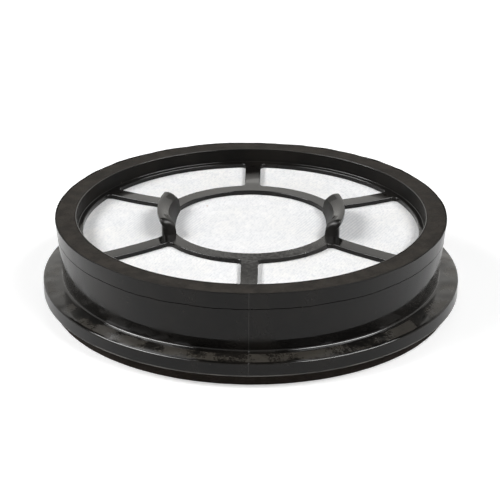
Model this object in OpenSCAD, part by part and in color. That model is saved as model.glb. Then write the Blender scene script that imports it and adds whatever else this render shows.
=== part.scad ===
// Round vacuum cleaner filter: a black moulded frame with a recessed spoked grid and two
// finger tabs, a soft band on its rim, a gasket under its flange, and a pleated pack with
// a white fleece on top. It rests on its gasket at z = 0, and its axis is the z axis.

/* [Frame outside] */
// Outer radius of the top rim
rim_r = 70; // [66:0.5:90]
// Height from the resting face to the top of the rim
body_h = 32.4; // [30:0.2:44]
// How much smaller the wall's radius is at its foot
wall_taper = 2.2; // [0.5:0.1:3]
// Thickness of the outer wall
wall_t = 2; // [1.6:0.1:2.6]
// Fillet between the flange and the wall
foot_fillet = 0.9; // [0.4:0.1:1.4]
// Height of the mould parting groove below the top of the rim
seam_drop = 6; // [4:0.2:9]
// Depth of the mould parting groove
seam_depth = 0.15; // [0.05:0.05:0.3]

/* [Flange] */
// How far the flange stands out past the top rim
flange_out = 5; // [4.5:0.1:7]
// Height of the flange's outer face
flange_edge_h = 4.8; // [3.5:0.1:6]
// Rise of the flange's top face from its edge to the wall
flange_rise = 0.8; // [0.2:0.1:1.6]
// Rounding of the flange's upper edge
flange_round = 0.5; // [0.2:0.1:0.8]

/* [Rim band] */
// Width of the soft band on the rim
band_w = 6.8; // [5:0.1:8]
// Depth of the seat that holds the band
band_t = 1.6; // [1:0.1:2]
// Width of the thin lip on each side of the band
lip_w = 0.4; // [0.3:0.05:0.8]

/* [Grid] */
// Depth of the grid's outer ledge below the top of the rim
ledge_drop = 5.2; // [4:0.1:7]
// Visible width of the ledge
ledge_w = 1.9; // [1.2:0.1:2.6]
// How far the inner ring stands higher than the ledge
grid_crown = 1.3; // [0:0.1:1.6]
// Thickness of the grid
grid_t = 1.6; // [1.2:0.1:2.2]
// Number of spokes
spoke_n = 6; // [3:1:8]
// Width of a spoke
spoke_w = 5.8; // [4:0.1:8]
// Inner radius of the central ring
ring_in_r = 28.8; // [26:0.2:34]
// Width of the central ring
ring_w = 5.3; // [4:0.1:7]
// Corner fillet between a spoke and the rings
spoke_fillet = 1.8; // [0.8:0.1:2.6]
// Diameter of the shallow dimple at the outer end of each spoke
dimple_d = 1.5; // [0.8:0.1:2.2]
// Depth of that dimple
dimple_t = 0.35; // [0.2:0.05:0.6]

/* [Finger tabs] */
// Length of a tab along the ring
tab_l = 26.4; // [18:0.2:28]
// Thickness of a tab
tab_t = 4.2; // [3:0.1:5]
// Height of a tab above the central ring
tab_h = 5.5; // [3:0.1:9]
// How far the middle of a tab's top leans outwards
tab_lean = 2; // [0:0.1:3]
// How far the foot of a tab bows outwards between its ends
tab_foot_bow = 0.9; // [0.3:0.1:2]
// Rounding of the tab's upper edges
tab_round = 0.8; // [0.3:0.1:1.2]
// How far a tab's inner face stands inside the central ring
tab_inset = 1.6; // [0.5:0.1:2.5]

/* [Underside] */
// Thickness of the inner wall round the pleated pack
skirt_t = 1.8; // [1.4:0.1:2.4]
// Step under the ledge that the fleece's edge is tucked into
tuck_w = 1.2; // [0.6:0.1:2]
// Number of stiffening ribs between the two walls
rib_n = 18; // [6:1:24]
// Thickness of a stiffening rib
rib_t = 1.2; // [0.8:0.1:2]
// Depth of the ribs' lower edges inside the channel
rib_set = 2; // [1:0.1:4]
// Thickness of the web under the rim band
web_t = 2; // [1.4:0.1:3]

/* [Gasket] */
// Height of the gasket that shows below the flange
gasket_h = 4.6; // [3:0.1:6]
// Width of the gasket
gasket_w = 4.8; // [3:0.1:5.2]
// How far the gasket is set back from the flange's edge
gasket_setback = 3; // [1:0.1:3.6]
// Depth of the groove that holds the gasket
groove_t = 1.2; // [0.6:0.1:2]
// Rounding of the gasket's lower edges
gasket_round = 0.6; // [0.2:0.1:1]

/* [Filter media] */
// Thickness of the fleece at its edge
fleece_t = 1; // [0.6:0.1:1.6]
// Height of the pleats
pleat_h = 18; // [12:0.5:19]
// Distance from one pleat to the next
pleat_pitch = 4.2; // [3.6:0.2:6]
// Thickness of the pleated paper
paper_t = 0.6; // [0.4:0.05:0.8]
// Flat across each fold, along the middle of the paper
fold_flat = 0.9; // [0.8:0.05:1.3]
// Width of the potting round the pack
potting_w = 2; // [1.2:0.1:3]
// How far the potting stays below the pleats' upper folds
potting_top_gap = 2; // [0.5:0.1:5]
// How far the potting stays above the pleats' lower folds
potting_low_gap = 1.5; // [0.5:0.1:4]
// Number of spacer beads across the underside of the pleats
bead_n = 3; // [1:1:5]
// Distance between spacer beads
bead_pitch = 30; // [16:1:34]
// Diameter of a spacer bead
bead_d = 1.4; // [1:0.1:2]

/* [Fits] */
// Side clearance of a seal in its seat
seal_clear = 0.1; // [0.05:0.05:0.3]
// Clearance between the media and what holds them
media_clear = 0.1; // [0.05:0.05:0.3]

/* [Hidden] */
$fn = 96;

full_turn = 360;
over = 1;
// Steps of a rounding, of the grid's crown and of a tab's outline
round_steps = 5;
crown_steps = 6;
tab_stations = 20;

// Radii, from the rim inwards
flange_r = rim_r + flange_out;
wall_base_r = rim_r - wall_taper;
band_out_r = rim_r - lip_w;
band_in_r = band_out_r - band_w;
recess_r = band_in_r - lip_w;
recess_draft = 0.3;
ledge_out_r = recess_r - recess_draft;
ledge_in_r = ledge_out_r - ledge_w;
skirt_in_r = ledge_in_r + tuck_w;
skirt_out_r = skirt_in_r + skirt_t;
gasket_out_r = flange_r - gasket_setback;
gasket_in_r = gasket_out_r - gasket_w;
ring_out_r = ring_in_r + ring_w;
pack_r = skirt_in_r - media_clear - potting_w;

// Heights, from the resting face upwards
flange_edge_z = gasket_h + flange_edge_h;
flange_top_z = flange_edge_z + flange_rise;
seam_z = body_h - seam_drop;
band_z = body_h - band_t;
ledge_z = body_h - ledge_drop;
ring_z = ledge_z + grid_crown;
ledge_low_z = ledge_z - grid_t;
channel_top_z = band_z - web_t;
fleece_low_z = ledge_low_z - fleece_t - media_clear;
pack_top_z = fleece_low_z - media_clear;
pack_low_z = pack_top_z - pleat_h;

// Radius of the outer wall at a height
function wall_r(z) = wall_base_r + wall_taper * (z - flange_top_z) / (body_h - flange_top_z);

// Points of an arc in a profile, from one angle to another
function arc(cx, cz, r, a, b) =
    [for (i = [0:round_steps]) let (t = a + (b - a) * i / round_steps) [cx + r * cos(t), cz + r * sin(t)]];

// Height of the grid's top face above the ledge's, highest over the central ring
function crown(r) =
    r < ring_out_r ? grid_crown
    : r > ledge_in_r ? 0
    : grid_crown * pow(1 - (r - ring_out_r) / (ledge_in_r - ring_out_r), 2);

// Radii at which the crown's profile has a point
crown_radii = [for (i = [0:crown_steps]) ring_out_r + (ledge_in_r - ring_out_r) * i / crown_steps];

// Solid between two copies of the crown's profile, out to a radius
module crowned_disc(r_out, low_edge_z, top_edge_z, crown_low = true) {
    radii = concat([for (r = crown_radii) if (r < r_out) r], [r_out]);
    top = [for (r = radii) [r, top_edge_z + crown(r)]];
    low = [for (i = [len(radii) - 1:-1:0]) [radii[i], low_edge_z + (crown_low ? crown(radii[i]) : 0)]];
    rotate_extrude()
        polygon(concat([[0, top_edge_z + grid_crown]], top, low,
                       [[0, low_edge_z + (crown_low ? grid_crown : 0)]]));
}

// Section of the frame's walls, rim, ledge and flange
module frame_section() {
    slope = atan(flange_rise / (flange_r - wall_base_r));
    draft = atan(wall_taper / (body_h - flange_top_z));
    fillet_r = wall_base_r + foot_fillet;
    lip_round = lip_w / 2;
    polygon(concat(
        [[skirt_in_r, gasket_h],
         [flange_r - flange_round / 2, gasket_h],
         [flange_r, gasket_h + flange_round / 2]],
        arc(flange_r - flange_round, flange_edge_z - flange_round, flange_round, 0, 90 - slope),
        arc(fillet_r, flange_top_z + foot_fillet * (1 - tan(slope)), foot_fillet, 270 - slope, 180 - draft),
        [[wall_r(seam_z - seam_depth), seam_z - seam_depth],
         [wall_r(seam_z) - seam_depth, seam_z],
         [wall_r(seam_z + seam_depth), seam_z + seam_depth]],
        arc(rim_r - lip_round, body_h - lip_round, lip_round, 0, 90),
        [[band_out_r, body_h],
         [band_out_r, band_z],
         [band_in_r, band_z],
         [band_in_r, body_h]],
        arc(recess_r + lip_round, body_h - lip_round, lip_round, 90, 180),
        [[ledge_out_r, ledge_z],
         [ledge_in_r, ledge_z],
         [ledge_in_r, ledge_low_z],
         [skirt_in_r, ledge_low_z]]
    ));
}

// Hollow between the frame's two walls, open below and crossed by ribs
module wall_channel() {
    difference() {
        rotate_extrude()
            polygon([[skirt_out_r, gasket_h - over],
                     [wall_r(gasket_h) - wall_t, gasket_h - over],
                     [wall_r(channel_top_z) - wall_t, channel_top_z],
                     [recess_r + skirt_t, channel_top_z],
                     [recess_r + skirt_t, ledge_low_z],
                     [skirt_out_r, ledge_low_z - skirt_t]]);
        for (i = [0:rib_n - 1])
            rotate([0, 0, full_turn * (i + 0.5) / rib_n])
                translate([skirt_out_r - over, -rib_t / 2, gasket_h + rib_set])
                    cube([flange_r - skirt_out_r, rib_t, body_h]);
    }
}

// Corner fill between a spoke's side and a ring, where the spoke meets it from outside or inside
module spoke_corner(ring_r, outside) {
    centre_r = outside ? ring_r + spoke_fillet : ring_r - spoke_fillet;
    cy = spoke_w / 2 + spoke_fillet;
    cx = sqrt(centre_r * centre_r - cy * cy);
    inner_y = spoke_w / 2 - over / 2;
    ring_x = sqrt(ring_r * ring_r - inner_y * inner_y) + (outside ? -over / 2 : over / 2);
    difference() {
        polygon([[cx, inner_y], [cx, cy], [cx, cy] * (ring_r / centre_r), [ring_x, inner_y]]);
        translate([cx, cy]) circle(r = spoke_fillet);
    }
}

// Outline of the grid in plan
module grid_plan() {
    difference() {
        circle(r = ring_out_r);
        circle(r = ring_in_r);
    }
    for (i = [0:spoke_n - 1])
        rotate(90 + full_turn * i / spoke_n) {
            translate([ring_in_r + ring_w / 2, -spoke_w / 2])
                square([ledge_in_r + over / 2 - ring_in_r - ring_w / 2, spoke_w]);
            for (side = [0, 1])
                mirror([0, side]) {
                    spoke_corner(ring_out_r, true);
                    spoke_corner(ledge_in_r, false);
                }
        }
}

// Spokes and central ring, a little higher in the middle than at the ledge
module grid() {
    dimple_r = ledge_in_r - spoke_w / 2;
    difference() {
        intersection() {
            translate([0, 0, ledge_low_z - over])
                linear_extrude(grid_t + grid_crown + 2 * over)
                    grid_plan();
            crowned_disc(ledge_in_r + over / 2, ledge_low_z, ledge_z);
        }
        for (i = [0:spoke_n - 1])
            rotate([0, 0, 90 + full_turn * i / spoke_n])
                translate([dimple_r, 0, ledge_z + crown(dimple_r) - dimple_t])
                    cylinder(d = dimple_d, h = over + dimple_t);
    }
}

// Offset of a tab's inner face from its ends: along the tab from -1 to 1, up it from 0 to 1
function tab_bow(along, up) = (tab_foot_bow + tab_lean * up) * (1 - along * along);

// Height of a tab's top at a place along it, rounded at both ends
function tab_top(y) =
    let (past = max(0, abs(y) - (tab_l / 2 - tab_round)) / tab_round)
    tab_h - tab_round * (1 - sqrt(max(0, 1 - past * past)));

// One section across a tab: the inner edge, the rounded top and the outer edge
function tab_section(y) =
    let (
        foot = -grid_t,
        top = tab_top(y),
        lift = top - foot,
        full = tab_h - foot,
        bow = [for (k = [0, 1]) tab_bow(2 * y / tab_l, k * lift / full)],
        inner_round = tab_round / 2
    )
    concat(
        [[0, foot, bow[0]]],
        [for (i = [0:round_steps]) let (t = 180 - 90 * i / round_steps)
            [inner_round * (1 + cos(t)), top - inner_round * (1 - sin(t)), bow[1]]],
        [for (i = [0:round_steps]) let (t = 90 - 90 * i / round_steps)
            [tab_t - tab_round * (1 - cos(t)), top - tab_round * (1 - sin(t)), bow[1]]],
        [[tab_t, foot, bow[0]]]
    );

// Places along a tab, closer together at its rounded ends
tab_y = [for (i = [0:tab_stations]) -tab_l / 2 * cos(180 * i / tab_stations)];

// Finger tab on the far left of the ring: a blade lofted along its length, upright at its
// ends and leaning outwards in the middle, with a crescent top
module finger_tab() {
    inner_x = ring_in_r - tab_inset - tab_foot_bow;
    sections = [for (y = tab_y) tab_section(y)];
    m = len(sections[0]);
    n = len(sections);
    points = [for (s = [0:n - 1], p = sections[s]) [-(inner_x + p[0] + p[2]), tab_y[s], ring_z + p[1]]];
    sides = [for (s = [0:n - 2], i = [0:m - 1])
        [s * m + i, s * m + (i + 1) % m, (s + 1) * m + (i + 1) % m, (s + 1) * m + i]];
    ends = [[for (i = [m - 1:-1:0]) i], [for (i = [0:m - 1]) (n - 1) * m + i]];
    polyhedron(points = points, faces = concat(sides, ends), convexity = 4);
}

// Black moulded frame: walls, rim, ledge, grid, finger tabs and flange in one piece
module frame() {
    color([0.13, 0.13, 0.13])
    union() {
        difference() {
            rotate_extrude() frame_section();
            wall_channel();
            translate([0, 0, gasket_h - over])
                rotate_extrude()
                    translate([gasket_in_r - seal_clear, 0])
                        square([gasket_w + 2 * seal_clear, groove_t + over]);
        }
        grid();
        for (side = [0, 1])
            mirror([side, 0, 0]) finger_tab();
    }
}

// Soft matte band in the seat on the rim
module rim_band() {
    edge = band_t / 8;
    color([0.21, 0.2, 0.18])
    rotate_extrude()
        polygon([[band_in_r + seal_clear, band_z],
                 [band_out_r - seal_clear, band_z],
                 [band_out_r - seal_clear, body_h - edge],
                 [band_out_r - seal_clear - edge, body_h],
                 [band_in_r + seal_clear + edge, body_h],
                 [band_in_r + seal_clear, body_h - edge]]);
}

// Gasket in the groove under the flange, which the filter rests on
module gasket() {
    color([0.17, 0.16, 0.15])
    rotate_extrude()
        polygon(concat(
            arc(gasket_in_r + gasket_round, gasket_round, gasket_round, 180, 270),
            arc(gasket_out_r - gasket_round, gasket_round, gasket_round, 270, 360),
            [[gasket_out_r, gasket_h + groove_t],
             [gasket_in_r, gasket_h + groove_t]]));
}

// White fleece under the grid, crowned with it
module fleece() {
    color([0.93, 0.94, 0.95])
    crowned_disc(skirt_in_r - media_clear, fleece_low_z, ledge_low_z - media_clear, false);
}

// Section of the pleats, from one side of the pack to the other: one strip of even thickness,
// folded flat at the top and the bottom of each slanted wall
module pleat_section(fold_n) {
    half_pitch = pleat_pitch / 2;
    half_fold = fold_flat / 2;
    slant = atan((pleat_h - paper_t) / (half_pitch - fold_flat));
    mitre = paper_t / 2 * tan(slant / 2);
    x0 = -fold_n * half_pitch / 2;
    wide = half_fold + mitre;
    narrow = half_fold - mitre;
    upper = [for (i = [0:fold_n], side = [-1, 1])
        let (high = i % 2 == 0)
        [x0 + i * half_pitch + side * (high ? wide : narrow), high ? pleat_h : paper_t]];
    lower = [for (i = [fold_n:-1:0], side = [1, -1])
        let (high = i % 2 == 0)
        [x0 + i * half_pitch + side * (high ? narrow : wide), high ? pleat_h - paper_t : 0]];
    polygon(concat(upper, lower));
}

// Pleated paper pack, cut round
module pleat_pack() {
    fold_n = 2 * ceil(2 * pack_r / pleat_pitch) + 2;
    color([0.9, 0.91, 0.9])
    intersection() {
        translate([0, pack_r + over, pack_low_z])
            rotate([90, 0, 0])
                linear_extrude(2 * (pack_r + over))
                    pleat_section(fold_n);
        translate([0, 0, pack_low_z])
            cylinder(r = pack_r, h = pleat_h);
    }
}

// Potting that seals the pack's edge to the frame
module potting() {
    color([0.82, 0.8, 0.72])
    translate([0, 0, pack_low_z + potting_low_gap])
        rotate_extrude()
            translate([pack_r, 0])
                square([potting_w, pleat_h - potting_low_gap - potting_top_gap]);
}

// Spacer beads laid across the lower folds of the pleats
module spacer_beads() {
    color([0.88, 0.87, 0.82])
    for (i = [0:bead_n - 1]) {
        y = (i - (bead_n - 1) / 2) * bead_pitch;
        half_l = sqrt(pow(pack_r - bead_d, 2) - y * y);
        translate([-half_l, y, pack_low_z - bead_d / 2])
            rotate([0, 90, 0])
                cylinder(d = bead_d, h = 2 * half_l);
    }
}

frame();
rim_band();
gasket();
fleece();
pleat_pack();
potting();
spacer_beads();
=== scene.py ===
"""Looks of a round vacuum cleaner filter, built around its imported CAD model.

Every piece is modelled here in full detail and stands for its plain CAD node. Sizes in the
classes are millimetres, and every mesh, place in a material and lamp is in metres.
"""

import logging
import math
from collections.abc import Callable, Iterable
from dataclasses import dataclass
from enum import Enum

import bmesh
import bpy
from mathutils import Matrix, Vector, noise

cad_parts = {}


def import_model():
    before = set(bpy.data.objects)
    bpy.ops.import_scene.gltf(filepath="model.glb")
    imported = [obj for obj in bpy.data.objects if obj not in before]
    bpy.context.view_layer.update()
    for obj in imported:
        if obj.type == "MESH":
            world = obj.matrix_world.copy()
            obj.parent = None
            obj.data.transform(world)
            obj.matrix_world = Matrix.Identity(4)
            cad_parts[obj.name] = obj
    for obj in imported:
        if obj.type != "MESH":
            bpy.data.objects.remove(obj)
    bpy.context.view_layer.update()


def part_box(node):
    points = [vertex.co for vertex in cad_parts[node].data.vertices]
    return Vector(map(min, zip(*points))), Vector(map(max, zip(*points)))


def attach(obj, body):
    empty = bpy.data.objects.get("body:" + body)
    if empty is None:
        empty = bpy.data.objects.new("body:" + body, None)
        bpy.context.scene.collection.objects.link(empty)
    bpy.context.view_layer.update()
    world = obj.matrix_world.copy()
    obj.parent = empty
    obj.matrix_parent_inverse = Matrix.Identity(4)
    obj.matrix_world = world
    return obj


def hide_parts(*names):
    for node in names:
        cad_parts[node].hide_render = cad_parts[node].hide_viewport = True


LOG = logging.getLogger("vacuum_filter")
MM = 0.001
NEAR = 1e-7
SHARP_DEG = 35.0

Rgb = tuple[float, float, float]


class Slot(Enum):
    """Material slots of the record."""

    FRAME = "frame_plastic"
    BAND = "band_rubber"
    GASKET = "gasket_foam"
    FLEECE = "fleece_felt"
    PAPER = "filter_paper"
    POTTING = "potting_resin"
    BEAD = "bead_glue"


@dataclass(frozen=True)
class NodeBox:
    """Reach of a round CAD node, in millimetres."""

    radius: float
    low: float
    high: float

    @classmethod
    def of(cls, node: str) -> "NodeBox":
        """Measures a CAD node.

        Args:
            node: The node's name.

        Returns:
            Its largest radius and its lowest and highest level.
        """
        low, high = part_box(node)
        return cls(high[0] / MM, low[2] / MM, high[2] / MM)


@dataclass(frozen=True)
class Corner:
    """A corner of a turned section: its radius and height, and the width of its rounding."""

    r: float
    z: float
    rounding: float = 0.0
    segments: int = 3


def cut_across(bm: bmesh.types.BMesh, place: tuple[float, float, float],
               normal: tuple[float, float, float], dist: float = NEAR) -> None:
    """Adds edges to a mesh where a plane crosses it.

    Args:
        bm: The mesh.
        place: A point of the plane.
        normal: The way the plane faces.
        dist: Vertices this close to the plane count as on it.
    """
    bmesh.ops.bisect_plane(bm, geom=bm.verts[:] + bm.edges[:] + bm.faces[:], dist=dist,
                           plane_co=place, plane_no=normal)


def pull_solid(bm: bmesh.types.BMesh, way: tuple[float, float, float]) -> None:
    """Extrudes a flat mesh into a solid.

    Args:
        bm: The mesh.
        way: The vector from the first face to the last.
    """
    made = bmesh.ops.extrude_face_region(bm, geom=bm.faces[:])["geom"]
    ends = [g for g in made if isinstance(g, bmesh.types.BMVert)]
    bmesh.ops.translate(bm, verts=ends, vec=way)


def round_edges(bm: bmesh.types.BMesh, edges: list[bmesh.types.BMEdge], width: float,
                segments: int) -> None:
    """Rounds edges of a mesh.

    Args:
        bm: The mesh.
        edges: The edges.
        width: How far the rounding reaches from the edge, in millimetres.
        segments: Number of facets across the rounding.
    """
    bmesh.ops.bevel(bm, geom=edges, offset=width * MM, offset_type="OFFSET", segments=segments,
                    profile=0.5, affect="EDGES", material=-1, clamp_overlap=True)


def face_outwards(bm: bmesh.types.BMesh) -> None:
    """Turns the faces of a closed mesh outwards, also after its vertices have been moved."""
    bm.normal_update()
    bmesh.ops.recalc_face_normals(bm, faces=bm.faces)


def shade_smooth(mesh: bpy.types.Mesh, sharp_deg: float = SHARP_DEG) -> None:
    """Shades a mesh smooth, but for the edges that turn by more than an angle."""
    mesh.polygons.foreach_set("use_smooth", [True] * len(mesh.polygons))
    mesh.set_sharp_from_angle(angle=math.radians(sharp_deg))


def make_object(name: str, bm: bmesh.types.BMesh,
                sharp_deg: float = SHARP_DEG) -> bpy.types.Object:
    """Turns a finished bmesh into a smooth-shaded object at the origin.

    Args:
        name: Name of the piece.
        bm: The mesh, which is freed.
        sharp_deg: Edges that turn by more than this stay sharp.

    Returns:
        The new object, linked to the scene.
    """
    mesh = bpy.data.meshes.new(name)
    bm.to_mesh(mesh)
    bm.free()
    shade_smooth(mesh, sharp_deg)
    obj = bpy.data.objects.new(name, mesh)
    bpy.context.scene.collection.objects.link(obj)
    return obj


def weigh_normals(obj: bpy.types.Object) -> bpy.types.Object:
    """Lets the large faces carry the shading, so that flat ones stay flat beside rounded edges.

    Args:
        obj: A piece with smooth shading.

    Returns:
        The same piece.
    """
    weights = obj.modifiers.new("face_weights", "WEIGHTED_NORMAL")
    weights.mode, weights.weight, weights.keep_sharp = "FACE_AREA", 50, True
    bake_modifiers(obj)
    return obj


def bake_modifiers(obj: bpy.types.Object) -> None:
    """Replaces a piece's mesh by what its modifiers make of it, and takes them off."""
    graph = bpy.context.evaluated_depsgraph_get()
    mesh = bpy.data.meshes.new_from_object(obj.evaluated_get(graph))
    obj.modifiers.clear()
    obj.data = mesh


class Lathe:
    """Turns a closed section round the z axis."""

    def __init__(self, corners: list[Corner], steps: int = 360) -> None:
        """Keeps the section's corners in order and the number of steps round."""
        self.corners = corners
        self.steps = steps

    def turn(self) -> bmesh.types.BMesh:
        """Spins the section and rounds its corners.

        Returns:
            The closed ring.
        """
        bm = bmesh.new()
        verts = [bm.verts.new((c.r * MM, 0.0, c.z * MM)) for c in self.corners]
        edges = [bm.edges.new((verts[i - 1], verts[i])) for i in range(len(verts))]
        bmesh.ops.spin(bm, geom=verts + edges, axis=(0, 0, 1), cent=(0, 0, 0), dvec=(0, 0, 0),
                       angle=math.tau, steps=self.steps, use_merge=True)
        bmesh.ops.remove_doubles(bm, verts=bm.verts, dist=NEAR)
        for rounding in sorted({(c.rounding, c.segments) for c in self.corners if c.rounding > 0}):
            self._round(bm, *rounding)
        face_outwards(bm)
        return bm

    def _round(self, bm: bmesh.types.BMesh, width: float, segments: int) -> None:
        """Bevels the rings of all corners that share one rounding."""
        places = {(round(c.r, 3), round(c.z, 3)) for c in self.corners
                  if (c.rounding, c.segments) == (width, segments)}
        rings = [e for e in bm.edges if all(self._place(v) in places for v in e.verts)
                 and self._place(e.verts[0]) == self._place(e.verts[1])]
        round_edges(bm, rings, width, segments)

    @staticmethod
    def _place(vert: bmesh.types.BMVert) -> tuple[float, float]:
        """Radius and height of a vertex in millimetres, rounded for comparison."""
        return round(math.hypot(vert.co.x, vert.co.y) / MM, 3), round(vert.co.z / MM, 3)


class Graph:
    """Adds nodes to a tree and links them."""

    def __init__(self, tree: bpy.types.NodeTree) -> None:
        """Keeps the tree that the nodes go into."""
        self.tree = tree

    def add(self, kind: str, inputs: dict | None = None, **settings: object) -> bpy.types.Node:
        """Adds one node.

        Args:
            kind: The node's Blender type.
            inputs: Values or output sockets by input name or number.
            settings: The node's own properties.

        Returns:
            The new node.
        """
        node = self.tree.nodes.new(kind)
        for name, value in settings.items():
            setattr(node, name, value)
        for key, value in (inputs or {}).items():
            if isinstance(value, bpy.types.NodeSocket):
                self.tree.links.new(value, node.inputs[key])
            else:
                node.inputs[key].default_value = value
        return node

    def math(self, operation: str, *values: object, clamp: bool = False) -> bpy.types.NodeSocket:
        """Adds a Math node over one to three values and returns its result."""
        node = self.add("ShaderNodeMath", dict(enumerate(values)), operation=operation,
                        use_clamp=clamp)
        return node.outputs[0]

    def plan(self, x: object, y: object) -> bpy.types.NodeSocket:
        """Adds a Combine XYZ node and returns the vector with this X and Y, at height 0."""
        return self.add("ShaderNodeCombineXYZ", {"X": x, "Y": y}).outputs[0]

    def length(self, vector: object) -> bpy.types.NodeSocket:
        """Adds a Vector Math node and returns the vector's length."""
        node = self.add("ShaderNodeVectorMath", {0: vector}, operation="LENGTH")
        return node.outputs["Value"]

    def turned(self, vector: object, angle: float, stretch: float = 1.0) -> bpy.types.NodeSocket:
        """Adds a Mapping node and returns coordinates for a pattern that runs along an angle.

        Args:
            vector: The coordinates.
            angle: The way the pattern runs on the plan, in radians from the x axis.
            stretch: How many times longer than wide it is drawn.

        Returns:
            The turned and stretched coordinates.
        """
        node = self.add("ShaderNodeMapping", {"Vector": vector, "Rotation": (0.0, 0.0, angle),
                                              "Scale": (1.0, 1.0 / stretch, 1.0)},
                        vector_type="TEXTURE")
        return node.outputs[0]

    def noise(self, vector: bpy.types.NodeSocket, scale: object, detail: float = 3.0,
              roughness: float = 0.5) -> bpy.types.NodeSocket:
        """Adds a Noise Texture and returns its factor."""
        node = self.add("ShaderNodeTexNoise", {"Vector": vector, "Scale": scale, "Detail": detail,
                                               "Roughness": roughness})
        return node.outputs[0]

    def span(self, value: object, low: float, high: float, out_low: object = 0.0,
             out_high: object = 1.0) -> bpy.types.NodeSocket:
        """Adds a smooth Map Range from low..high to out_low..out_high and returns its result."""
        node = self.add("ShaderNodeMapRange", {0: value, 1: low, 2: high, 3: out_low, 4: out_high},
                        interpolation_type="SMOOTHSTEP")
        return node.outputs[0]

    def mix(self, factor: object, a: object, b: object) -> bpy.types.NodeSocket:
        """Adds a colour Mix and returns its result."""
        node = self.add("ShaderNodeMix", {0: factor, 6: a, 7: b}, data_type="RGBA")
        return node.outputs[2]


def rgba(colour: Rgb) -> tuple[float, float, float, float]:
    """Adds full alpha to a colour."""
    return (*colour, 1.0)


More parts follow.
